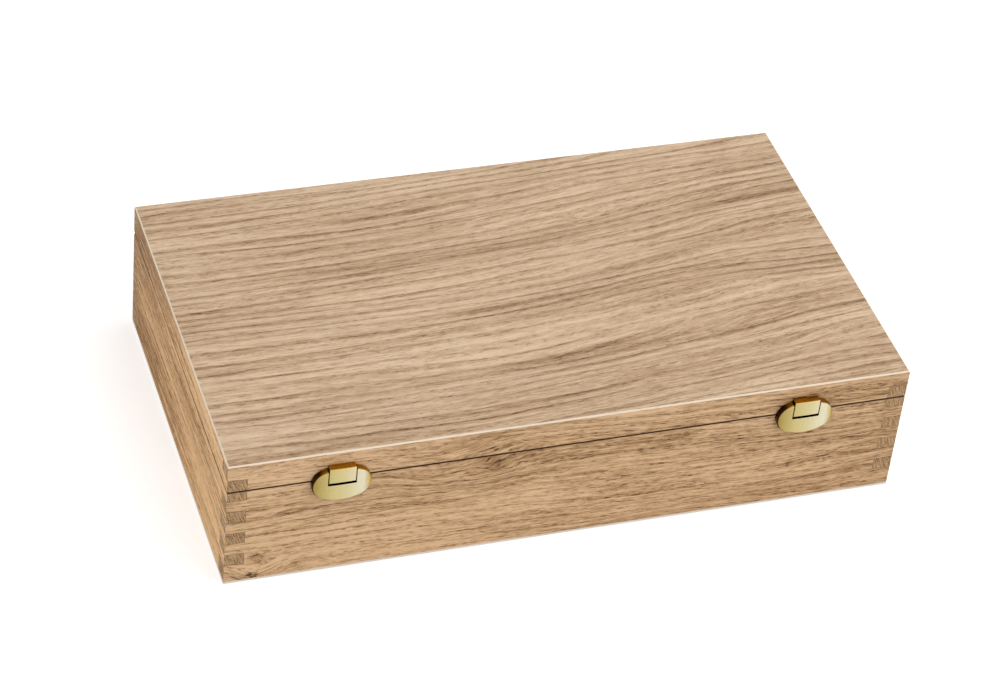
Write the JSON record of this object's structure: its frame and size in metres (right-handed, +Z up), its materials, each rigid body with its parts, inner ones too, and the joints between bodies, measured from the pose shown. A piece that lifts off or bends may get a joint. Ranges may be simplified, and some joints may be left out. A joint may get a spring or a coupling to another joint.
{
  "type": "coloured pencil box",
  "caption": "Flat oak presentation box with finger-jointed corners, hinged lid, oval brass clasps and pencil trays.",
  "frame": {"origin": "centre of the underside of the case", "axes": "+X along the front to the right, -Y towards the clasps, +Z up"},
  "size_m": [0.425, 0.2532, 0.093],
  "materials": {
    "oak": "matt oiled oak",
    "oak_veneer": "matt oiled oak veneer",
    "plywood": "raw birch plywood",
    "tray_wood": "fine sanded oak",
    "foam": "matt dark foam",
    "pad": "matt dark foam",
    "pencils": "lacquered wood",
    "ribbon": "woven ribbon",
    "clasp_brass": "satin brass",
    "hinge_brass": "satin brass",
    "spring_steel": "drawn wire"
  },
  "bodies": {
    "case": {"bottom_panel": "plywood", "front_board": "oak", "back_board": "oak", "left_board": "oak", "right_board": "oak", "left_hinge_body_leaf": "hinge_brass", "left_hinge_pin": "hinge_brass", "left_clasp_base": "clasp_brass", "left_clasp_pin": "hinge_brass", "left_clasp_spring": "spring_steel", "right_hinge_body_leaf": "hinge_brass", "right_hinge_pin": "hinge_brass", "right_clasp_base": "clasp_brass", "right_clasp_pin": "hinge_brass", "right_clasp_spring": "spring_steel", "hinge_body_screws": "hinge_brass", "clasp_rivets": "hinge_brass", "lower_tray_bottom": "plywood", "lower_tray_front": "tray_wood", "lower_tray_back": "tray_wood", "lower_tray_left": "tray_wood", "lower_tray_right": "tray_wood", "lower_tray_divider": "tray_wood", "lower_tray_foam": "foam", "lower_pencils": "pencils"},
    "lid": {"top_panel": "oak_veneer", "lid_front_board": "oak", "lid_back_board": "oak", "lid_left_board": "oak", "lid_right_board": "oak", "lid_pad": "pad", "left_hinge_lid_leaf": "hinge_brass", "left_strike": "clasp_brass", "right_hinge_lid_leaf": "hinge_brass", "right_strike": "clasp_brass", "hinge_lid_screws": "hinge_brass", "strike_rivets": "hinge_brass"},
    "left_lever": {"left_clasp_lever": "clasp_brass"},
    "right_lever": {"right_clasp_lever": "clasp_brass"},
    "upper_tray": {"upper_tray_bottom": "plywood", "upper_tray_front": "tray_wood", "upper_tray_back": "tray_wood", "upper_tray_left": "tray_wood", "upper_tray_right": "tray_wood", "upper_tray_divider": "tray_wood", "upper_tray_foam": "foam", "upper_pencils": "pencils", "left_lifting_ribbon": "ribbon", "right_lifting_ribbon": "ribbon"}
  },
  "joints": [
    {"name": "lid_hinge", "type": "hinge", "parent": "case", "child": "lid", "pos_m": [0, 0.122, 0.0731], "axis": [-1, 0, 0], "range_deg": [0, 96]},
    {"name": "left_clasp_tilt", "type": "hinge", "parent": "case", "child": "left_lever", "pos_m": [-0.145, -0.1259, 0.0624], "axis": [1, 0, 0], "range_deg": [0, 15], "stiffness_Nm_per_rad": 0.05, "springref_deg": -5.73, "deforming": ["left_clasp_spring"]},
    {"name": "right_clasp_tilt", "type": "hinge", "parent": "case", "child": "right_lever", "pos_m": [0.145, -0.1259, 0.0624], "axis": [1, 0, 0], "range_deg": [0, 15], "stiffness_Nm_per_rad": 0.05, "springref_deg": -5.73, "deforming": ["right_clasp_spring"]},
    {"name": "upper_tray_lift", "type": "slide", "parent": "case", "child": "upper_tray", "axis": [0, 0, 1], "range_m": [0, 0.013]}
  ]
}
